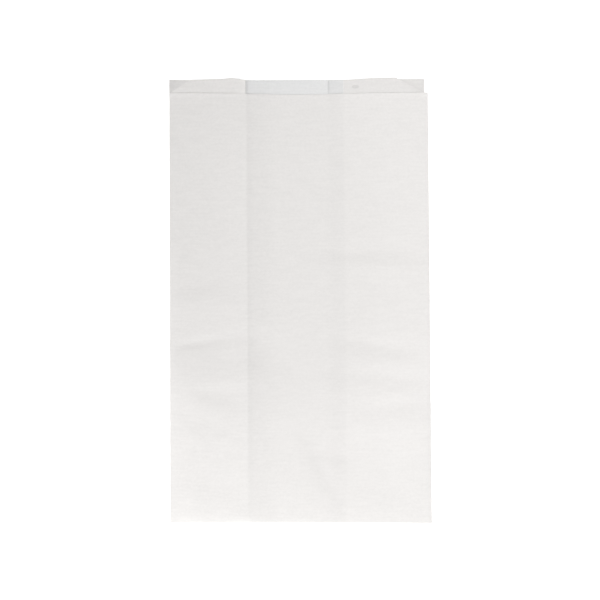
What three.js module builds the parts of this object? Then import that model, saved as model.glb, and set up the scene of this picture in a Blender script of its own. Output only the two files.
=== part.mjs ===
// A flat paper food bag. One sheet of light white paper is folded into a tube with a pleat,
// or gusset, along each side. Its long edges are lapped and glued down the back, and the
// bottom end is turned over to the back and glued, so the whole bag is one piece of paper.
//
// Millimetres. The bag lies on its back: +X is to the right, +Y towards the mouth, +Z up.
// The walls are drawn thicker than real paper, so that the layers keep clear of each other.

import * as THREE from 'three';

// Driving dimensions of the flat bag.
const FRONT_WIDTH = 175;
const BACK_LENGTH = 296.8;
const BACK_FOLD_INSET = 2.6;       // the right back fold lies this far inside the front fold
const BOTTOM_FLAP_LENGTH = 18;

// The gussets. loft is how far the layers stand apart at the inner fold, at the mouth. top is
// the cut edge of the front half: distances from the inner fold, and heights above the back's
// edge. The corner of that half is cut off between the two last distances from the side fold.
const LEFT_GUSSET = {
  side: -1,
  depth: 52.2,
  loft: 1.6,
  top: [[0, 0], [5.5, 1.15], [10, 1.5], [17, 0.95], [43, 0.2]],
  cornerInner: 14.8,
  cornerOuter: 0.6,
};
const RIGHT_GUSSET = {
  side: 1,
  depth: 57,
  loft: 0.7,
  top: [[0, 0], [5.4, 0.1], [17.5, 1], [36, 1.35]],
  cornerInner: 20.5,
  cornerOuter: 4.7,
};
const GUSSET_BACK_LEAD = 0.25;     // at its side, a gusset's back half outreaches the back

// The lapped seam down the back. The left ply lies on top, inside the bag.
const INNER_PLY_EDGE = 20;
const OUTER_PLY_EDGE = -19.2;
const PLY_RAMP = 5;                // the upper ply comes down to the surface over this width

// The front is cut lower than the back. Its edge dips in the middle, and a little more where
// the plies of the seam are lapped.
const LIP_LEFT = 8.5;
const LIP_RIGHT = 8.9;
const LIP_SAG = 0.95;
const LIP_SEAM_DIP = 0.45;
const LIP_SEAM_RAMP = 7;

// How the bag came off the machine: its ends lean against its sides, its bottom fold bows
// down at the corners, and it is a little narrower at the mouth.
const LEAN = 0.0055;
const NARROWING = 0.0045;
const BOTTOM_BOW = 0.3;
const BOW_LENGTH = 40;

// Paper and the room between its layers.
const WALL = 0.25;
const PRESSED_GAP = 0.2;
const FLAP_THICKNESS = 1;
const FLAP_STEP = 0.3;
const FLAP_RAMP = 32;              // above the flap the back comes down over this length
const SIDE_LOFT = 0.9;             // how far the layers stand apart in a pleat at its side fold,
const MIDDLE_LOFT = 0.5;           // and front and back in the middle, both at the mouth
const BOTTOM_LOFT = 0.15;          // the share of every loft that is left at the bottom
const SAG_WIDTH = 22;              // the front sinks between the gussets over this width
const PUFF = 3;                    // how much further the front stands off at its highest
const PUFF_RISE = 95;              // it rises over this length from the bottom fold
const PUFF_FALL = [60, 260];       // and falls between these two places

// How finely the surface is divided.
const RUN_STEP = 9;
const SAG_STEP = 5;
const FOLD_STEPS = 4;
const NOSE_ANGLES = [65, 35];
const CAVITY_START = 1.5;
const STATIONS = [6, 12, BOTTOM_FLAP_LENGTH, BOTTOM_FLAP_LENGTH + FLAP_STEP, 26, 36,
  52, 80, 110, 140, 170, 200, 230, 255, 275];

const PITCH = WALL + PRESSED_GAP;
const SIDE = FRONT_WIDTH / 2;
const RIGHT_BACK_FOLD = SIDE - BACK_FOLD_INSET;

const mix = THREE.MathUtils.lerp;
const smooth = THREE.MathUtils.smoothstep;
const clamp01 = (value) => THREE.MathUtils.clamp(value, 0, 1);

const innerFold = (gusset) => gusset.side * (SIDE - gusset.depth);
const gussetAt = (x) => (x < 0 ? LEFT_GUSSET : RIGHT_GUSSET);

// Distance from a gusset's inner fold, growing towards the side fold.
const fromInnerFold = (x) => gussetAt(x).side * (x - innerFold(gussetAt(x)));

// Share of the full loft at a station: small at the glued bottom, whole at the mouth.
function looseness(y) {
  return mix(BOTTOM_LOFT, 1, smooth(y, 0, BACK_LENGTH));
}

// How far the back is held up by the flap folded under it.
function backLift(y) {
  return FLAP_THICKNESS * (1 - smooth(y, BOTTOM_FLAP_LENGTH, BOTTOM_FLAP_LENGTH + FLAP_RAMP));
}

// Heights of the back's two faces. They are two walls apart where the plies are lapped.
function backFaces(x, y) {
  const lift = backLift(y);
  const onOuterPly = smooth(x, OUTER_PLY_EDGE - PLY_RAMP, OUTER_PLY_EDGE);
  const underInnerPly = x <= INNER_PLY_EDGE ? 1 : 0;
  const inner = lift + WALL * (1 + onOuterPly * underInnerPly);
  const leftOfSeam = x < OUTER_PLY_EDGE;
  const outer = leftOfSeam ? lift + WALL * onOuterPly : lift;
  return { outer: y <= BOTTOM_FLAP_LENGTH ? 0 : outer, inner };
}

// How far the bag is puffed up: most where it was once bent across, and not at its ends.
function puff(y) {
  return PUFF * smooth(y, 0, PUFF_RISE) * (1 - smooth(y, ...PUFF_FALL));
}

// Mid-heights of the three layers above the back. A pleat opens like a Z: between its halves
// at the side fold, and above and below them at the inner fold. Between the pleats the front
// sinks to the back.
function layers(x, y) {
  const gusset = gussetAt(x);
  const outward = clamp01(fromInnerFold(x) / gusset.depth);
  const loose = looseness(y);
  const loft = loose * gusset.loft + puff(y);
  const back = backFaces(x, y).inner - WALL / 2;
  const pleatBack = back + PITCH + mix(loft / 2, 0, outward);
  const pleatFront = pleatBack + PITCH + mix(0, loose * SIDE_LOFT + puff(y), outward);
  const overPleat = pleatFront + PITCH + mix(loft / 2, 0, outward);
  const middle = backLift(y) + 1.5 * WALL + PITCH + loose * MIDDLE_LOFT + puff(y);
  const front = mix(overPleat, middle, smooth(-fromInnerFold(x), 0, SAG_WIDTH));
  return { pleatBack, pleatFront, front };
}

// Where the paper is cut at the mouth: the back, the front, and a gusset's two halves.
const backEdge = () => BACK_LENGTH;

function frontEdge(x) {
  const across = (x + SIDE) / FRONT_WIDTH;
  const inside = Math.min(x - OUTER_PLY_EDGE, INNER_PLY_EDGE - x) + LIP_SEAM_RAMP / 2;
  const sag = LIP_SAG * Math.sin(Math.PI * across) ** 2;
  const dip = LIP_SEAM_DIP * smooth(inside, 0, LIP_SEAM_RAMP);
  return BACK_LENGTH - mix(LIP_LEFT, LIP_RIGHT, across) - sag - dip;
}

function gussetBackEdge(x) {
  return BACK_LENGTH + GUSSET_BACK_LEAD * fromInnerFold(x) / gussetAt(x).depth;
}

function gussetFrontEdge(x) {
  const { top, cornerInner, cornerOuter } = gussetAt(x);
  const uncut = BACK_LENGTH + heightAlong(top, fromInnerFold(x));
  const fromSide = SIDE - Math.abs(x);
  return mix(frontEdge(x), uncut, clamp01((fromSide - cornerOuter) / (cornerInner - cornerOuter)));
}

// Height of an outline of [place, height] corners at a place, straight between the corners.
function heightAlong(outline, place) {
  const next = outline.findIndex(([corner]) => corner > place);
  if (next < 1) {
    return outline.at(next)[1];
  }
  const [[startPlace, start], [endPlace, end]] = outline.slice(next - 1, next + 1);
  return mix(start, end, (place - startPlace) / (endPlace - startPlace));
}

// Places from one end of a run to the other, about a step apart, with the named stops kept.
function places(from, to, step, stops = []) {
  const ends = [from, ...stops, to];
  const list = [];
  for (let i = 0; i + 1 < ends.length; i += 1) {
    const count = Math.max(1, Math.round(Math.abs(ends[i + 1] - ends[i]) / step));
    for (let k = 0; k < count; k += 1) {
      list.push(mix(ends[i], ends[i + 1], k / count));
    }
  }
  list.push(to);
  return list;
}

// Where the cut edge of a gusset's front half turns, from the inner fold outwards.
function turnsOf(gusset) {
  const tops = gusset.top.slice(1, -1).map(([place]) => innerFold(gusset) + gusset.side * place);
  const corners = [gusset.cornerInner, gusset.cornerOuter].map((d) => gusset.side * (SIDE - d));
  return [...tops, ...corners];
}

// One flat run of the sheet: its two faces lie half a wall above and below its mid-height.
// facing is +1 where the bag's outside is the upper face.
function run(xs, height, facing, edge) {
  return xs.map((x) => ({
    edge: edge(x),
    faces: (y) => {
      const z = height(x, y);
      const half = facing * WALL / 2;
      return { outer: [x, z + half], inner: [x, z - half] };
    },
  }));
}

// The back is a run whose faces are set by the lapped seam.
function backRun(xs) {
  return xs.map((x) => ({
    edge: backEdge(),
    faces: (y) => {
      const { outer, inner } = backFaces(x, y);
      return { outer: [x, outer], inner: [x, inner] };
    },
  }));
}

// One crease: a half circle that joins two runs. side is the way it bulges, climb is +1
// when the sheet goes up through it, and outside is +1 where the bulge is the bag's outside.
function crease(x, lower, upper, side, climb, outside, edge) {
  const list = [];
  for (let k = 0; k <= FOLD_STEPS; k += 1) {
    const angle = climb * Math.PI * (k / FOLD_STEPS - 0.5);
    list.push({
      edge,
      faces: (y) => {
        const low = lower(x, y);
        const high = upper(x, y);
        const radius = (high - low) / 2;
        const centreX = x - side * (radius + WALL / 2);
        const at = (reach) => [
          centreX + side * reach * Math.cos(angle),
          (low + high) / 2 + reach * Math.sin(angle),
        ];
        const half = outside * WALL / 2;
        return { outer: at(radius + half), inner: at(radius - half) };
      },
    });
  }
  return list;
}

// The sheet's way round the bag, seen from the mouth: along the back to the left, through
// the left pleat, along the front to the right, and through the right pleat to the back.
function sheetPath() {
  const backMid = (x, y) => backFaces(x, y).inner - WALL / 2;
  const pleatBack = (x, y) => layers(x, y).pleatBack;
  const pleatFront = (x, y) => layers(x, y).pleatFront;
  const front = (x, y) => layers(x, y).front;
  const clear = 2 * PITCH;
  const leftFold = innerFold(LEFT_GUSSET);
  const rightFold = innerFold(RIGHT_GUSSET);
  const backStops = [INNER_PLY_EDGE + WALL, INNER_PLY_EDGE, OUTER_PLY_EDGE,
    OUTER_PLY_EDGE - WALL, OUTER_PLY_EDGE - PLY_RAMP];
  const leftXs = places(leftFold - clear, -SIDE + clear, RUN_STEP, turnsOf(LEFT_GUSSET));
  const rightXs = places(SIDE - clear, rightFold + clear, RUN_STEP, turnsOf(RIGHT_GUSSET).reverse());
  const frontXs = [
    ...places(-SIDE + clear, leftFold, RUN_STEP),
    ...places(leftFold, rightFold, SAG_STEP).slice(1, -1),
    ...places(rightFold, SIDE - clear, RUN_STEP),
  ];
  const leftPleatXs = places(-SIDE + clear, leftFold - clear, RUN_STEP);
  const rightPleatXs = places(rightFold + clear, RIGHT_BACK_FOLD - clear, RUN_STEP);
  return [
    ...backRun(places(RIGHT_BACK_FOLD - clear, -SIDE + clear, RUN_STEP, backStops)),
    ...crease(-SIDE, backMid, pleatBack, -1, 1, 1, gussetBackEdge(-SIDE)),
    ...run(leftPleatXs, pleatBack, 1, gussetBackEdge),
    ...crease(leftFold, pleatBack, pleatFront, 1, 1, -1, backEdge()),
    ...run(leftXs, pleatFront, -1, gussetFrontEdge),
    ...crease(-SIDE, pleatFront, front, -1, 1, 1, frontEdge(-SIDE)),
    ...run(frontXs, front, 1, frontEdge),
    ...crease(SIDE, pleatFront, front, 1, -1, 1, frontEdge(SIDE)),
    ...run(rightXs, pleatFront, -1, gussetFrontEdge),
    ...crease(rightFold, pleatBack, pleatFront, -1, -1, -1, backEdge()),
    ...run(rightPleatXs, pleatBack, 1, gussetBackEdge),
    ...crease(RIGHT_BACK_FOLD, backMid, pleatBack, 1, -1, 1, gussetBackEdge(RIGHT_BACK_FOLD)),
  ];
}

// Rows of points from the bottom to the mouth. The outside has a rounded nose below the
// bottom fold, and the cavity starts a little above it.
function rowsOf(path, face) {
  const point = (step, y) => {
    const [x, z] = step.faces(y)[face];
    return new THREE.Vector3(x, y, z);
  };
  const body = [CAVITY_START, ...STATIONS].map((y) => path.map((step) => point(step, y)));
  const mouth = path.map((step) => point(step, step.edge));
  if (face === 'inner') {
    return [...body, mouth];
  }
  const bottom = path.map((step) => point(step, 0));
  const radius = Math.max(...bottom.map((p) => p.z)) / 2;
  const nose = NOSE_ANGLES.map((degrees) => {
    const angle = THREE.MathUtils.degToRad(degrees);
    return bottom.map((p) => new THREE.Vector3(
      p.x,
      -radius * Math.sin(angle),
      radius + (p.z - radius) * Math.cos(angle),
    ));
  });
  return [...nose, bottom, ...body, mouth];
}

// A point of the square bag, moved to where the leaning ends and narrower mouth put it.
function asMade({ x, y, z }) {
  const bow = BOTTOM_BOW * (x / SIDE) ** 2 * (1 - smooth(y, 0, BOW_LENGTH));
  return new THREE.Vector3(x * (1 - NARROWING * y / BACK_LENGTH), y - LEAN * x - bow, z);
}

// The bag's closed surface: an outside and an inside skin, each shut at its bottom row by an
// end face, and joined to each other along the cut edge at the mouth.
function bagGeometry() {
  const path = sheetPath();
  const count = path.length;
  const outside = rowsOf(path, 'outer');
  const inside = rowsOf(path, 'inner');
  const points = [...outside.flat(), ...inside.flat()];
  const firstInside = outside.length * count;
  const index = [];
  const quad = (a, b, c, d) => index.push(a, b, c, a, c, d);
  const band = (lower, upper, outward) => {
    for (let k = 0; k < count; k += 1) {
      const next = (k + 1) % count;
      if (outward) {
        quad(lower + k, lower + next, upper + next, upper + k);
      } else {
        quad(lower + k, upper + k, upper + next, lower + next);
      }
    }
  };
  const endFace = (start, towardsMouth) => {
    const ring = points.slice(start, start + count);
    const outline = ring.map((p) => new THREE.Vector2(p.x, p.z));
    for (const [a, b, c] of THREE.ShapeUtils.triangulateShape(outline, [])) {
      if (towardsMouth) {
        index.push(start + a, start + c, start + b);
      } else {
        index.push(start + a, start + b, start + c);
      }
    }
  };
  for (let i = 0; i + 1 < outside.length; i += 1) {
    band(i * count, (i + 1) * count, true);
  }
  for (let i = 0; i + 1 < inside.length; i += 1) {
    band(firstInside + i * count, firstInside + (i + 1) * count, false);
  }
  band((outside.length - 1) * count, firstInside + (inside.length - 1) * count, true);
  endFace(0, false);
  endFace(firstInside, true);

  const geometry = new THREE.BufferGeometry().setFromPoints(points.map(asMade));
  geometry.setIndex(index);
  geometry.computeBoundingBox();
  const middle = geometry.boundingBox.getCenter(new THREE.Vector3());
  geometry.translate(-middle.x, -middle.y, -geometry.boundingBox.min.z);
  geometry.computeVertexNormals();
  return geometry;
}

// White machine-glazed paper, a little warm.
function paper() {
  return new THREE.MeshStandardMaterial({ color: 0xefecea, roughness: 0.75, metalness: 0 });
}

const bag = new THREE.Mesh(bagGeometry(), paper());
bag.name = 'paper_bag';

const model = new THREE.Group();
model.add(bag);

export default model;
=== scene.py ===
"""A flat white paper food bag lying on its back, seen from straight above."""

import bpy
import numpy as np
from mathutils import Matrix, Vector


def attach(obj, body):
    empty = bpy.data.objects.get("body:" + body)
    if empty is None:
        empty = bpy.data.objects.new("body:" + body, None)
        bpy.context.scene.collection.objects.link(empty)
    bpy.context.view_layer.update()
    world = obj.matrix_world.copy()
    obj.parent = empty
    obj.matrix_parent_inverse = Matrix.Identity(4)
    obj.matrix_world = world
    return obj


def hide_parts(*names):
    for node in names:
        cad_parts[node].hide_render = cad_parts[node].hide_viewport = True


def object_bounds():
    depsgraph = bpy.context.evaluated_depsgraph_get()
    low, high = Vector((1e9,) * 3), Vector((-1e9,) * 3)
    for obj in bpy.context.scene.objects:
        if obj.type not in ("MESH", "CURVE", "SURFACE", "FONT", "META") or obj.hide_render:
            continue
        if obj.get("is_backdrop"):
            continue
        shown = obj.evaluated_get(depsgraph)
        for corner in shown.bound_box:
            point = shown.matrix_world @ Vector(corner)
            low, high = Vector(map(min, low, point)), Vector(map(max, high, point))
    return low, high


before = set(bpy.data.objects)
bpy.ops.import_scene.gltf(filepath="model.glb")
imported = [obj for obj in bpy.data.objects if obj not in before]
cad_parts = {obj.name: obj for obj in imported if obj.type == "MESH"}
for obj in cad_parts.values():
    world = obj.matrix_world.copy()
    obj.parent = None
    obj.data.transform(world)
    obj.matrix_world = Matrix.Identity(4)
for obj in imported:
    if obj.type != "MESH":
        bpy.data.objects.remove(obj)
cad_low, cad_high = (np.array(corner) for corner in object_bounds())


# The folded sheet. One web of thin bleached paper is folded into a tube with a pleat along
# each side, its long edges are lapped and glued down the back, and the bottom end is turned
# under and glued. Here it is one sheet too, a surface of the way round and the way along.

MM = 0.001
LENGTH = 296.8 * MM          # bottom fold to the back's cut edge
PAPER = 0.06 * MM            # thickness
PITCH = 0.09 * MM            # from one pressed layer's middle to the next
SIDE = cad_high[0]           # side folds
LEFT_FOLD = -SIDE + 51.9 * MM      # inner folds of the two pleats
RIGHT_FOLD = SIDE - 57 * MM
BACK_RIGHT = SIDE - 2.4 * MM       # the back is a little narrower than the front
INNER_EDGE = 20 * MM               # raw edges of the lapped plies
OUTER_EDGE = -19.2 * MM
FLAP = 18 * MM                     # what is turned under at the bottom
FLAP_LIFT = 0.5 * MM               # how far it holds the back up
LIP_LEFT = 8.5 * MM                # how much lower than the back the front is cut at its sides
LIP_RIGHT = 8.9 * MM
LIP_SAG = 0.95 * MM                # how much lower still in the middle
LIP_SEAM_DIP = 0.45 * MM           # and over the lapped seam
LIP_SEAM_RAMP = 7 * MM
PUFF = 3.0 * MM                    # how far the front stands off where the bag is puffed up most
PUFF_RISE = (-24 * MM, 95 * MM)    # it rises from below the bottom fold to here
PUFF_FALL = (60 * MM, 260 * MM)    # and has nearly gone by here
SPRINGY = {-1: 0.4 * MM, 1: 0.1 * MM}      # how far the left and right inner folds open
LEAN = 0.0055                      # of the ends against the sides
NARROWING = 0.0045                 # towards the mouth, as a share of the width
DRAWN_IN = 0.003                   # of the sides where the bag is puffed up, the same
BOTTOM_BOW = 0.3 * MM              # how much lower the bottom fold is at its corners


def smooth(value, start, end):
    """Rises from 0 at start to 1 at end as 3t² - 2t³, and is flat at both ends."""
    t = np.clip((value - start) / (end - start), 0, 1)
    return t * t * (3 - 2 * t)


def spring(y):
    """How far the folds spring open: shut at the glued bottom, nearly all within 25 mm of
    it, and fully at the mouth."""
    return 0.75 * smooth(y, 1 * MM, 26 * MM) + 0.25 * smooth(y, 26 * MM, LENGTH)


def ripple(x, y, place, angle, length, below, above, height):
    """One crease or wave: along its line it fades as exp(-|2t|³), and across it as a bell
    that may be steeper on one side than on the other."""
    away_x, away_y = x - place[0] * MM, y - place[1] * MM
    turn = np.radians(angle)
    along = away_x * np.cos(turn) + away_y * np.sin(turn)
    across = away_y * np.cos(turn) - away_x * np.sin(turn)
    width = np.where(across < 0, below, above) * MM
    return height * MM * np.exp(-((across / width) ** 2) - np.abs(2 * along / (length * MM)) ** 3)


# The waves of the front: place, angle, length, width below and above the line, and height.
# A wave at 90 degrees runs up the bag, and its width below is then the one to its right.
WAVES = [
    ((-70, 147), 14, 46, 9, 6, 0.27),
    ((-72, 158), 14, 38, 5, 6, -0.20),
    ((-45, 147), 95, 34, 5, 9, 0.06),
    ((-66, 120), 8, 66, 3.2, 4, -0.26),
    ((-75, 118.5), 12, 28, 3, 3, -0.20),
    ((-58, 93), 3, 60, 4, 11, 0.27),
    ((-66, 79), -22, 56, 8, 6.5, 0.24),
    ((-60, 57), 0, 50, 7, 7, 0.10),
    ((-56, 28), 0, 44, 8, 8, -0.09),
    ((-71, 58), -8, 24, 5, 5, 0.08),
    ((-72, 17), 80, 26, 5, 11, 0.20),
    ((-58, 36), -30, 26, 6, 6, 0.08),
    ((-26, 106), 0, 22, 1.8, 5, -0.08),
    ((-20, 97), -55, 26, 3, 5, -0.10),
    ((-17, 112), -42, 60, 8, 9, -0.14),
    ((-14, 68), 8, 18, 3, 7, 0.10),
    ((5, 50), -20, 22, 6, 5, 0.14),
    ((17, 30), -62, 58, 5, 6, -0.20),
    ((19, 46), -8, 26, 6, 5, -0.27),
    ((20, 88), 0, 16, 5, 6, 0.14),
    ((21, 157), 0, 34, 6, 6, 0.12),
    ((-24, 131), 0, 20, 4, 5, 0.13),
    ((-25, 113), 0, 20, 5, 5, -0.14),
    ((-28, 88), 0, 14, 5, 6, -0.08),
    ((25, 179), 4, 30, 4, 5, -0.12),
    ((53, 171), 1, 62, 7, 5, 0.26),
    ((45, 181), 2, 50, 4, 5, -0.13),
    ((36, 129), 0, 20, 4, 4, 0.07),
    ((60, 117), -8, 64, 5, 5.5, -0.27),
    ((54, 98), -4, 68, 5, 4, -0.20),
    ((70, 87), 8, 46, 4.5, 3.5, 0.18),
    ((68, 78), 10, 52, 3.5, 4, -0.15),
    ((58, 65), 0, 60, 12, 8, 0.13),
    ((46, 46), 88, 46, 24, 7, 0.20),
    ((51, 12), 80, 16, 4, 6, 0.10),
]


def puffing(y):
    """How puffed up the bag is, from 0 to 1: a rise of 3t² - 2t³ to about 90 mm from the
    bottom, where it was once bent across, and a slow fall towards the mouth."""
    return smooth(y, *PUFF_RISE) * (1 - 0.9 * smooth(y, *PUFF_FALL))


def crest(x, y):
    """How far the front is puffed up. The old bend runs a little aslant, and the right side
    stands up a little more. Over the pleats it starts to rise a little later. Near the side
    folds it rounds off as an exponential of the distance from them."""
    bent = y - 0.1 * x - 0.2 * x * smooth(y, 0, 60 * MM)
    puff = PUFF * puffing(bent) + ripple(x, y, (84, 62), 0, 66, 24, 20, 0.65)
    left = 0.45 * MM * np.exp(-(x + SIDE) / (9 * MM)) * smooth(y, 190 * MM, 140 * MM)
    left += 0.7 * MM * np.exp(-(x + SIDE) / (20 * MM)) * smooth(y, 100 * MM, 55 * MM)
    right = 0.16 * MM * np.exp(-(SIDE - x) / (2.5 * MM)) * smooth(y, 115 * MM, 60 * MM)
    edges = (left + right) * smooth(y, 0, 45 * MM)
    over_pleats = np.exp(-(((np.abs(x) - 50 * MM) / (26 * MM)) ** 2))
    return puff - edges - 0.35 * MM * over_pleats * smooth(y, 2 * MM, 26 * MM)


def lift(x, y):
    """How far the front stands off: the crest and the waves. It is shut at the bottom fold,
    the waves die out at the sides, and at the mouth all of it does. Just above the bottom
    fold it rises as 1 - exp(-y/length)."""
    total = sum(ripple(x, y, *wave) for wave in WAVES)
    sides = 1 - np.exp(-np.maximum(SIDE - np.abs(x), 0) / (8 * MM))
    length = (3.5 + 2 * np.sin(x / (8 * MM)) * np.sin(x / (21 * MM))) * MM
    shut = 1 - np.exp(-y / length)
    return (crest(x, y) + total * sides) * shut * smooth(y, LENGTH, LENGTH - 60 * MM)


def back_under(x, y):
    """Mid-height of the outer ply of the back, which the flap holds up at the bottom."""
    return PAPER / 2 + FLAP_LIFT * (1 - smooth(y, FLAP, FLAP + 45 * MM)) + 0 * x


def back_over(x, y):
    """Mid-height of the inner ply of the back. It climbs onto the outer ply at the seam, and
    its raw edge lifts a little, and so does its left corner at the mouth."""
    climb = PITCH * smooth(x, OUTER_EDGE - 4 * MM, OUTER_EDGE)
    free = smooth(y, LENGTH - 10 * MM, LENGTH - 6 * MM)
    curl = 0.22 * MM * smooth(x, INNER_EDGE - 5 * MM, INNER_EDGE) * free
    corner = np.exp(-(x + SIDE) / (8 * MM)) * smooth(y, LENGTH - 13 * MM, LENGTH - 5 * MM)
    return back_under(x, y) + climb + curl + 0.5 * MM * corner


def layers(x, y, side):
    """Mid-heights of the pleat's back half, its front half and the bag's front, over the
    back. side is -1 for the left pleat and 1 for the right. A puffed bag opens as a Z does:
    between the pleat's halves at the side fold, and above and below them at the inner fold.
    The left pleat's inner fold is the springier one. The front's edge presses it shut, and
    beyond that edge only the fold itself springs open."""
    inner = LEFT_FOLD if side < 0 else RIGHT_FOLD
    outward = np.clip((x - inner) / (side * SIDE - inner), 0, 1)
    below = (1 - outward) ** 3 * smooth(y, LENGTH - 12 * MM, LENGTH - 60 * MM)
    above = 0.8 * (1 - outward) ** 12 * smooth(y, LENGTH - 9.3 * MM, LENGTH - 7.7 * MM)
    open_fold = SPRINGY[side] * (below + above)
    open_side = 0.03 * MM * outward
    back = back_over(x, y) if side < 0 else back_under(x, y)
    puffed = lift(x, y)
    half_back = back + PITCH + spring(y) * open_fold + puffed * (1 - outward) / 2
    half_front = half_back + PITCH + spring(y) * open_side + puffed * outward
    return half_back, half_front, half_front + PITCH + puffed * (1 - outward) / 2


def sink(away, reach):
    """1 up to an inner fold. Past it 0.4 exp(-e/1.8) + 0.6 exp(-e/reach), where e is
    √(d² + 1) - 1 and d the distance from the fold in mm."""
    d = np.maximum(away, 0) / MM
    e = np.sqrt(d * d + 1) - 1
    return 0.4 * np.exp(-e / 1.8) + 0.6 * np.exp(-e / reach)


def front_height(x, y):
    """Mid-height of the front. Over the pleats it lies on them, and between them it sinks
    to the back. Its cut edge curls up a little, most near the left corner and the left
    pleat's inner fold."""
    over = np.where(x < 0, layers(x, y, -1)[2], layers(x, y, 1)[2])
    settled = smooth(y, LENGTH - 45 * MM, LENGTH - 12 * MM)
    lapped = smooth(x, OUTER_EDGE - 4 * MM, OUTER_EDGE) * smooth(x, INNER_EDGE + 4 * MM, INNER_EDGE)
    middle = back_under(x, y) + 2 * PITCH - 0.02 * MM + lift(x, y)
    middle -= 0.06 * MM * settled * (1 - lapped)
    reach = 7 - 6 * settled
    share = np.where(x < 0, sink(x - LEFT_FOLD - 0.4 * MM, reach), sink(RIGHT_FOLD - x, reach))
    left_corner = np.exp(-(((x + 74 * MM) / (16 * MM)) ** 2))
    left_fold = np.exp(-(((x + 44 * MM) / (7 * MM)) ** 2))
    edge = smooth(y, front_cut(x) - 3 * MM, front_cut(x))
    curl = (0.045 + 0.045 * share + 0.03 * left_corner + 0.04 * left_fold) * MM
    return middle + (over - middle) * share + curl * edge


def front_cut(x):
    """The front's cut edge, about 9 mm lower than the back's. It dips in the middle, and
    between the raw edges of the seam it lies a little lower still."""
    across = (x + SIDE) / (2 * SIDE)
    left, right = OUTER_EDGE - 3 * MM, INNER_EDGE + 3 * MM
    seam = smooth(x, left, left + LIP_SEAM_RAMP) * smooth(x, right, right - LIP_SEAM_RAMP)
    straight_cut = LENGTH - LIP_LEFT - (LIP_RIGHT - LIP_LEFT) * across
    return straight_cut - LIP_SAG * np.sin(np.pi * across) ** 2 - LIP_SEAM_DIP * seam


# The cut edge of each pleat's front half: how far it stands above the back's edge at some
# distances from the inner fold, and the two distances from the side fold, at the top and at
# the front's edge, between which its corner is cut off.
PLEAT_TOP = {
    -1: ([0, 5.5 * MM, 10 * MM, 17 * MM, 43 * MM], [0, 1.15 * MM, 1.5 * MM, 0.95 * MM, 0.2 * MM]),
    1: ([0, 5.4 * MM, 17.5 * MM, 36 * MM], [0, 0.1 * MM, 1.0 * MM, 1.35 * MM]),
}
CORNER_TOP = {-1: 14.8 * MM, 1: 21.6 * MM}
CORNER_END = {-1: 0.6 * MM, 1: 2.7 * MM}
PLEAT_LEAD = 0.25 * MM       # a pleat's back half reaches this far past the back at its side


def pleat_cut(x, side):
    """The cut edge of a pleat's front half, with its corner cut across in a straight line."""
    inner = LEFT_FOLD if side < 0 else RIGHT_FOLD
    top = LENGTH + np.interp(np.abs(x - inner), *PLEAT_TOP[side])
    from_side = SIDE - np.abs(x)
    corner = (from_side - CORNER_END[side]) / (CORNER_TOP[side] - CORNER_END[side])
    return front_cut(x) + (top - front_cut(x)) * np.clip(corner, 0, 1)


def lead_cut(x, side):
    """The cut edge of a pleat's back half."""
    inner = LEFT_FOLD if side < 0 else RIGHT_FOLD
    return LENGTH + PLEAT_LEAD * np.abs(x - inner) / (SIDE - np.abs(inner))


def spread(start, end, step, stops=()):
    """Places from start to end about a step apart, with every stop among them."""
    ends = [start, *stops, end]
    parts = []
    for a, b in zip(ends[:-1], ends[1:]):
        parts.append(np.linspace(a, b, max(1, round(abs(b - a) / step)), endpoint=False))
    return np.concatenate([*parts, [end]])


class Strip:
    """Some columns of the sheet: their x, height function and cut edge, or for a crease the
    two heights that it joins, the way it bulges and its angles. shade says how much painted
    shade darkens the paper there, inside is 1 on the back's plies, which show their inner
    side at the mouth, and marked is 1 on the layer that has the grey mark."""

    def __init__(
        self, x, height, cut, upper=None, bulge=0, angle=0.0, shade=0.0, inside=0, marked=0,
    ):
        self.x = np.asarray(x, float)
        self.height = height
        self.cut = cut
        self.upper = upper
        self.bulge = bulge
        self.angle = angle
        self.looks = [shade + 0 * self.x, inside + 0 * self.x, marked + 0 * self.x]

    def point(self, y):
        """x and z of each column at heights y, an array of rows by columns."""
        low = self.height(self.x + 0 * y, y)
        if self.upper is None:
            return self.x + 0 * y, low
        high = self.upper(self.x + 0 * y, y)
        radius = (high - low) / 2
        reach_x = radius * (np.cos(self.angle) - 1) - PAPER / 2
        return self.x + self.bulge * reach_x, (low + high) / 2 + radius * np.sin(self.angle)


CREASE_ANGLES = np.linspace(-np.pi / 2, np.pi / 2, 7)


def crease(x, lower, upper, bulge, climbs, cut, shade=0.0):
    """A crease at x from the lower layer to the upper one, or back when climbs is false."""
    angle = CREASE_ANGLES if climbs else -CREASE_ANGLES
    return Strip(np.full(7, x), lower, np.full(7, cut), upper, bulge, angle, shade)


def left_back_half(x, y):
    return layers(x, y, -1)[0]


def left_front_half(x, y):
    return layers(x, y, -1)[1]


def right_back_half(x, y):
    return layers(x, y, 1)[0]


def right_front_half(x, y):
    return layers(x, y, 1)[1]


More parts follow.
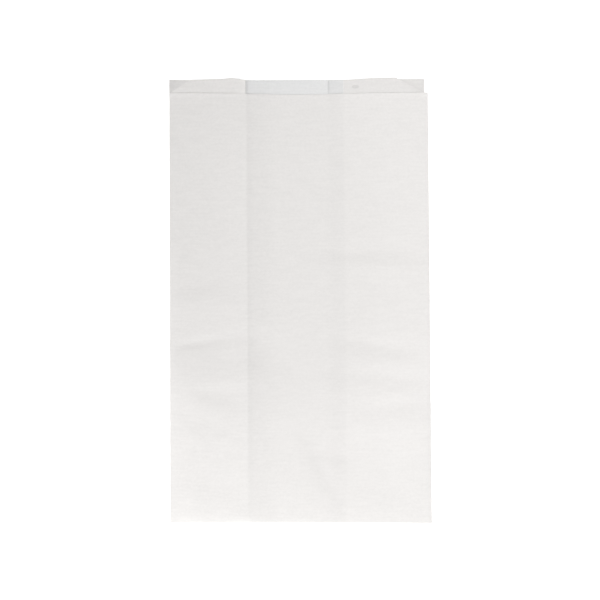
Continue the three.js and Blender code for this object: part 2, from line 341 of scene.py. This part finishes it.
TUCK = 0.35 * MM
FINE, COARSE = 1.6 * MM, 5 * MM
over_x = spread(INNER_EDGE, -SIDE + TUCK, COARSE, [17 * MM, OUTER_EDGE, OUTER_EDGE - 4 * MM])
left_back_x = spread(-SIDE + TUCK, LEFT_FOLD - TUCK, COARSE, [-SIDE + 5 * MM, -SIDE + 15 * MM])
left_front_x = spread(
    LEFT_FOLD - TUCK, -SIDE + TUCK, COARSE,
    [LEFT_FOLD - 5.5 * MM, LEFT_FOLD - 10 * MM, LEFT_FOLD - 17 * MM,
     -SIDE + CORNER_TOP[-1], -SIDE + CORNER_END[-1]],
)
front_x = np.concatenate([
    spread(-SIDE + TUCK, LEFT_FOLD - 2 * MM, FINE, [-SIDE + 1 * MM, -SIDE + 3 * MM]),
    spread(LEFT_FOLD - 2 * MM, LEFT_FOLD + 2 * MM, 0.5 * MM)[1:],
    spread(LEFT_FOLD + 2 * MM, RIGHT_FOLD - 2 * MM, FINE)[1:],
    spread(RIGHT_FOLD - 2 * MM, RIGHT_FOLD + 2 * MM, 0.5 * MM)[1:],
    spread(RIGHT_FOLD + 2 * MM, SIDE - TUCK, FINE, [SIDE - 3 * MM, SIDE - 1 * MM])[1:],
])
right_front_x = spread(
    SIDE - TUCK, RIGHT_FOLD + TUCK, COARSE,
    [SIDE - CORNER_END[1], SIDE - CORNER_TOP[1], RIGHT_FOLD + 17.5 * MM, RIGHT_FOLD + 5.4 * MM],
)
right_back_x = spread(RIGHT_FOLD + TUCK, BACK_RIGHT - TUCK, COARSE)
under_x = spread(BACK_RIGHT - TUCK, OUTER_EDGE, COARSE, [INNER_EDGE])
# Painted shade on the left pleat's back half, darkest at the side fold, for the dark left corner of
# the mouth.
left_shade = 0.11 * np.exp(-(left_back_x + SIDE) / (11 * MM))


def straight(x):
    return np.full(x.shape, LENGTH)


# The shade values below are painted shade: on both pleats' back halves and the creases at their
# side folds, and a little on the right pleat's front half.
strips = [
    Strip(over_x, back_over, straight(over_x), inside=1),
    crease(-SIDE, back_over, left_back_half, -1, True, lead_cut(-SIDE, -1), 0.11),
    Strip(left_back_x, left_back_half, lead_cut(left_back_x, -1), shade=left_shade),
    crease(LEFT_FOLD, left_back_half, left_front_half, 1, True, LENGTH),
    Strip(left_front_x, left_front_half, pleat_cut(left_front_x, -1)),
    crease(-SIDE, left_front_half, front_height, -1, True, front_cut(-SIDE)),
    Strip(front_x, front_height, front_cut(front_x)),
    crease(SIDE, right_front_half, front_height, 1, False, front_cut(SIDE)),
    Strip(right_front_x, right_front_half, pleat_cut(right_front_x, 1), shade=0.03, marked=1),
    crease(RIGHT_FOLD, right_back_half, right_front_half, -1, False, LENGTH),
    Strip(right_back_x, right_back_half, lead_cut(right_back_x, 1), shade=0.068),
    crease(BACK_RIGHT, back_under, right_back_half, 1, False, lead_cut(BACK_RIGHT, 1), 0.05),
    Strip(under_x, back_under, straight(under_x), inside=1),
]


def sheet_points(strips):
    """Middle surface of the sheet, rows by columns by xyz. From the bottom fold to the mouth
    the rows are the strips' own heights. Below, every layer turns half round the fold's
    axis, at the radius it lies above it, and runs back under the bag as the flap."""
    body_y = np.concatenate([
        spread(0.4 * MM, 12 * MM, 1.2 * MM),
        spread(12 * MM, LENGTH - 17 * MM, 2.0 * MM)[1:],
    ])[:, None]
    lip = 1 - (1 - np.linspace(0, 1, 10)[1:, None]) ** 2
    flap = np.linspace(1, 0, 6)[:, None]
    turn = np.linspace(np.pi, 0, 9)[1:, None]
    columns = []
    for strip in strips:
        x, z = strip.point(body_y + 0 * strip.x)
        mouth_y = body_y[-1] + lip * (strip.cut - body_y[-1])
        mouth_x, mouth_z = strip.point(mouth_y)
        fold_x, fold_z = strip.point(np.zeros((1, len(strip.x))))
        axis = PAPER / 2 + FLAP_LIFT - PITCH / 2
        radius = fold_z - axis
        turn_y, turn_z = -radius * np.sin(turn), axis + radius * np.cos(turn)
        flap_y = flap * (FLAP - np.pi * radius)
        rows_y = [flap_y, turn_y, body_y + 0 * strip.x, mouth_y]
        rows_z = [axis - radius + 0 * flap_y, turn_z, z, mouth_z]
        rows_x = [fold_x + 0 * flap_y, fold_x + 0 * turn_y, x, mouth_x]
        parts = [np.concatenate(rows) for rows in (rows_x, rows_y, rows_z)]
        columns.append(np.stack(parts, axis=-1))
    return np.concatenate(columns, axis=1)


def out_of_square(points):
    """The tube as it really came off the machine: its ends lean by a third of a degree, the
    bottom fold bows, and it is 0.8 mm narrower at the mouth. Where it is puffed up its sides
    draw in by 0.25 mm."""
    x, y, z = np.moveaxis(points, -1, 0)
    bow = BOTTOM_BOW * (x / SIDE) ** 2 * (1 - smooth(y, 0, 40 * MM))
    narrower = NARROWING * y / LENGTH + DRAWN_IN * puffing(y)
    return np.stack([x * (1 - narrower), y - LEAN * x - bow, z], axis=-1)


def two_skins(points, thickness):
    """Closed skin round a grid of middle points: each point goes half a thickness along the
    surface's normal to either side, and the grid's four edges are joined by a rim."""
    along = np.gradient(points, axis=0)
    across = np.gradient(points, axis=1)
    normal = np.cross(along, across)
    normal /= np.linalg.norm(normal, axis=-1, keepdims=True) + 1e-12
    half = normal * thickness / 2
    rows, columns = points.shape[:2]
    index = np.arange(rows * columns).reshape(rows, columns)
    corner = [index[:-1, :-1], index[:-1, 1:], index[1:, 1:], index[1:, :-1]]
    quads = np.stack(corner, axis=-1).reshape(-1, 4)
    rim = np.concatenate([index[0], index[1:, -1], index[-1, -2::-1], index[-2:0:-1, 0]])
    after = np.roll(rim, -1)
    count = rows * columns
    rim_quads = np.stack([rim, rim + count, after + count, after], axis=-1)
    vertices = np.concatenate([(points - half).reshape(-1, 3), (points + half).reshape(-1, 3)])
    faces = np.concatenate([quads, quads[:, ::-1] + count, rim_quads])
    return vertices, faces


sheet_grid = out_of_square(sheet_points(strips))
BOTTOM = cad_high[1] - sheet_grid[..., 1].max()      # of the bottom fold, along Y
sheet_grid[..., 1] += BOTTOM
bag_vertices, bag_faces = two_skins(sheet_grid, PAPER)
bag_mesh = bpy.data.meshes.new("paper_sheet")
bag_mesh.from_pydata(bag_vertices.tolist(), [], bag_faces.tolist())
bag_mesh.polygons.foreach_set("use_smooth", np.ones(len(bag_faces), bool))
bag_mesh.set_sharp_from_angle(angle=np.radians(50))
for k, name in enumerate(("shade", "inside", "marked")):
    along_row = np.concatenate([strip.looks[k] for strip in strips])
    values = np.tile(along_row, 2 * len(sheet_grid))
    layer = bag_mesh.attributes.new(name, "FLOAT", "POINT")
    layer.data.foreach_set("value", values.astype(np.float32))
bag_mesh.validate()
bag = bpy.data.objects.new("paper_sheet", bag_mesh)
bpy.context.collection.objects.link(bag)


def paper_material():
    """Thin bleached paper. On the outside it is a little warm, and darker where fewer layers
    lie behind it, as painted shade. The inside of the back is neutral, and greyer where only
    one ply lies on the other, as painted shade. The shade attribute adds painted shade too.
    The paper's formation is cloudy, with fibres mostly across the bag."""
    material = bpy.data.materials.new("thin white paper")
    material.use_nodes = True
    nodes, links = material.node_tree.nodes, material.node_tree.links
    shader = nodes["Principled BSDF"]
    shader.inputs["Roughness"].default_value = 0.62
    shader.inputs["Specular IOR Level"].default_value = 0.3

    place = nodes.new("ShaderNodeTexCoord")
    axes = nodes.new("ShaderNodeSeparateXYZ")
    links.new(place.outputs["Object"], axes.inputs[0])

    def math(operation, a, b=None, c=None):
        node = nodes.new("ShaderNodeMath")
        node.operation = operation
        for slot, value in enumerate((a, b, c)):
            if value is None:
                continue
            if isinstance(value, (int, float)):
                node.inputs[slot].default_value = value
            else:
                links.new(value, node.inputs[slot])
        return node.outputs[0]

    def step_up(value, start, end):
        """0 below start and 1 above end, smooth between."""
        node = nodes.new("ShaderNodeMapRange")
        node.interpolation_type = "SMOOTHSTEP"
        node.inputs["From Min"].default_value = start
        node.inputs["From Max"].default_value = end
        links.new(value, node.inputs["Value"])
        return node.outputs["Result"]

    def attribute(name):
        node = nodes.new("ShaderNodeAttribute")
        node.attribute_name = name
        return node.outputs["Fac"]

    def blend(share, a, b):
        """a where share is 0 and b where it is 1, of numbers or of colours."""
        node = nodes.new("ShaderNodeMix")
        node.data_type = "RGBA" if isinstance(a, tuple) else "FLOAT"
        kind = 6 if isinstance(a, tuple) else 2
        links.new(share, node.inputs["Factor"])
        for slot, value in ((kind, a), (kind + 1, b)):
            if isinstance(value, tuple):
                node.inputs[slot].default_value = (*value, 1)
            else:
                links.new(value, node.inputs[slot])
        return node.outputs[2 if isinstance(a, tuple) else 0]

    x, y = axes.outputs["X"], axes.outputs["Y"]

    def bands(edges):
        """1, with a smooth step of the given height at each edge: place, reach, height."""
        tone = 1.0
        for edge, reach, height in edges:
            step = step_up(x, edge - reach, edge + reach)
            tone = math("MULTIPLY_ADD", step, height, tone)
        return tone

    # Painted shade in steps across the bag: darker where fewer layers lie behind the paper, in
    # place of light through it, and just past the left pleat's inner fold. On the back's inner side
    # it is darker where only one ply lies, with a sharp step at the inner ply's raw edge.
    outside_painted_shade = bands([
        (LEFT_FOLD + 1.0 * MM, 1.2 * MM, -0.016),
        (OUTER_EDGE, 7 * MM, 0.020),
        (INNER_EDGE, 4 * MM, -0.018),
        (RIGHT_FOLD, 1.5 * MM, 0.031),
    ])
    inside_painted_shade = bands([
        (OUTER_EDGE, 0.8 * MM, 0.030),
        (INNER_EDGE, 0.1 * MM, -0.048),
    ])
    tone = blend(attribute("inside"), outside_painted_shade, inside_painted_shade)
    # Painted shade from the shade attribute darkens the paper.
    tone = math("MULTIPLY_ADD", attribute("shade"), -1.0, tone)

    def cloud(scale, stretch, detail):
        """Noise with so many waves a metre along the bag, stretched across it."""
        mapping = nodes.new("ShaderNodeMapping")
        mapping.inputs["Scale"].default_value = (scale / stretch, scale, scale)
        links.new(place.outputs["Object"], mapping.inputs["Vector"])
        noise = nodes.new("ShaderNodeTexNoise")
        noise.inputs["Scale"].default_value = 1.0
        noise.inputs["Detail"].default_value = detail
        links.new(mapping.outputs["Vector"], noise.inputs["Vector"])
        return noise.outputs["Fac"]

    streaks = cloud(700, 8, 1.0)
    grain = cloud(620, 1.15, 1.0)
    formation = cloud(240, 2.5, 2.0)
    for pattern, strength in ((streaks, 0.055), (grain, 0.080), (formation, 0.028)):
        shifted = math("SUBTRACT", pattern, 0.5)
        tone = math("MULTIPLY_ADD", shifted, strength, tone)

    mark_x, mark_y = 38.5 * MM, BOTTOM + 291.7 * MM
    mark_radius_x, mark_radius_y = 3.1 * MM, 1.5 * MM
    across = math("DIVIDE", math("SUBTRACT", x, mark_x), mark_radius_x)
    along = math("DIVIDE", math("SUBTRACT", y, mark_y), mark_radius_y)
    spot = math("ADD", math("MULTIPLY", across, across), math("MULTIPLY", along, along))
    spot = math("MULTIPLY", step_up(spot, 1.0, 0.25), attribute("marked"))
    tone = math("MULTIPLY_ADD", spot, -0.12, tone)

    base = blend(attribute("inside"), (0.817, 0.800, 0.785), (0.778, 0.778, 0.776))
    colour = nodes.new("ShaderNodeVectorMath")
    colour.operation = "SCALE"
    links.new(base, colour.inputs[0])
    links.new(tone, colour.inputs["Scale"])
    links.new(colour.outputs[0], shader.inputs["Base Color"])

    relief = math("ADD", streaks, grain)
    bump = nodes.new("ShaderNodeBump")
    bump.inputs["Strength"].default_value = 0.5
    bump.inputs["Distance"].default_value = 0.00005
    links.new(relief, bump.inputs["Height"])
    links.new(bump.outputs["Normal"], shader.inputs["Normal"])
    return material


bag_mesh.materials.append(paper_material())
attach(bag, "root")
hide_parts("paper_bag")


# The studio: a plain white surface under the bag. It glows a little, as an overexposed
# white sweep does, so that it stays lighter than the paper.

floor_mesh = bpy.data.meshes.new("white_surface")
REACH = 3.0
floor_corners = [(-REACH, -REACH, 0), (REACH, -REACH, 0), (REACH, REACH, 0), (-REACH, REACH, 0)]
floor_mesh.from_pydata(floor_corners, [], [(0, 1, 2, 3)])
floor = bpy.data.objects.new("white_surface", floor_mesh)
bpy.context.collection.objects.link(floor)
floor_paint = bpy.data.materials.new("white surface")
floor_paint.use_nodes = True
floor_shader = floor_paint.node_tree.nodes["Principled BSDF"]
floor_shader.inputs["Base Color"].default_value = (0.9, 0.9, 0.9, 1)
floor_shader.inputs["Roughness"].default_value = 0.9
floor_shader.inputs["Emission Color"].default_value = (1, 1, 1, 1)
floor_shader.inputs["Emission Strength"].default_value = 0.6
floor_mesh.materials.append(floor_paint)
floor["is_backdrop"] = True


# The lights: a soft box beyond the bag's bottom, one far off to the left that draws the folds,
# and soft pools from above that even out the far right corner and lighten the lower parts of
# the two side edges.


def soft_box(name, place, aim, size, power):
    """A square area light at place, in metres, that faces aim."""
    light = bpy.data.lights.new(name, "AREA")
    light.size = size
    light.energy = power
    lamp = bpy.data.objects.new(name, light)
    lamp.rotation_euler = (Vector(place) - Vector(aim)).to_track_quat("Z", "Y").to_euler()
    lamp.location = place
    bpy.context.collection.objects.link(lamp)


def soft_pool(name, middle, height, radius, power):
    """A spot straight above middle whose light fades out smoothly to the radius."""
    light = bpy.data.lights.new(name, "SPOT")
    light.spot_size = 2 * np.arctan(radius / height)
    light.spot_blend = 1.0
    light.shadow_soft_size = 0.1 * height
    light.energy = power
    lamp = bpy.data.objects.new(name, light)
    lamp.location = (*middle, height)
    bpy.context.collection.objects.link(lamp)


CENTRE = (0.0, 0.0, 0.0)
soft_box("near light", (0.0, -1.3, 1.1), CENTRE, 0.6, 26.8)
soft_box("left light", (-4.6, -0.6, 1.35), CENTRE, 0.9, 144.0)
soft_pool("far pool", (0.2, 0.2), 1.5, 0.35, 20.2)
soft_pool("left edge pool", (-0.114, -0.112), 0.5, 0.075, 0.50)
soft_pool("right edge pool", (0.110, -0.085), 0.5, 0.065, 0.30)

world = bpy.data.worlds.new("studio air")
world.use_nodes = True
world.node_tree.nodes["Background"].inputs["Color"].default_value = (1, 1, 1, 1)
world.node_tree.nodes["Background"].inputs["Strength"].default_value = 0.183
bpy.context.scene.world = world
bpy.context.scene.view_settings.view_transform = "Standard"


# The camera looks down on the bag, turned and tilted a little, as the photograph shows it.

camera_data = bpy.data.cameras.new("camera")
camera_data.lens = 85
camera_data.sensor_width = 36
camera = bpy.data.objects.new("camera", camera_data)
MIDDLE_Y = BOTTOM + LENGTH / 2
camera.location = (0.0216, MIDDLE_Y - 0.0211, 0.9500)
camera.rotation_euler = np.radians((1.27, 1.29, -0.35))
bpy.context.collection.objects.link(camera)
bpy.context.scene.camera = camera
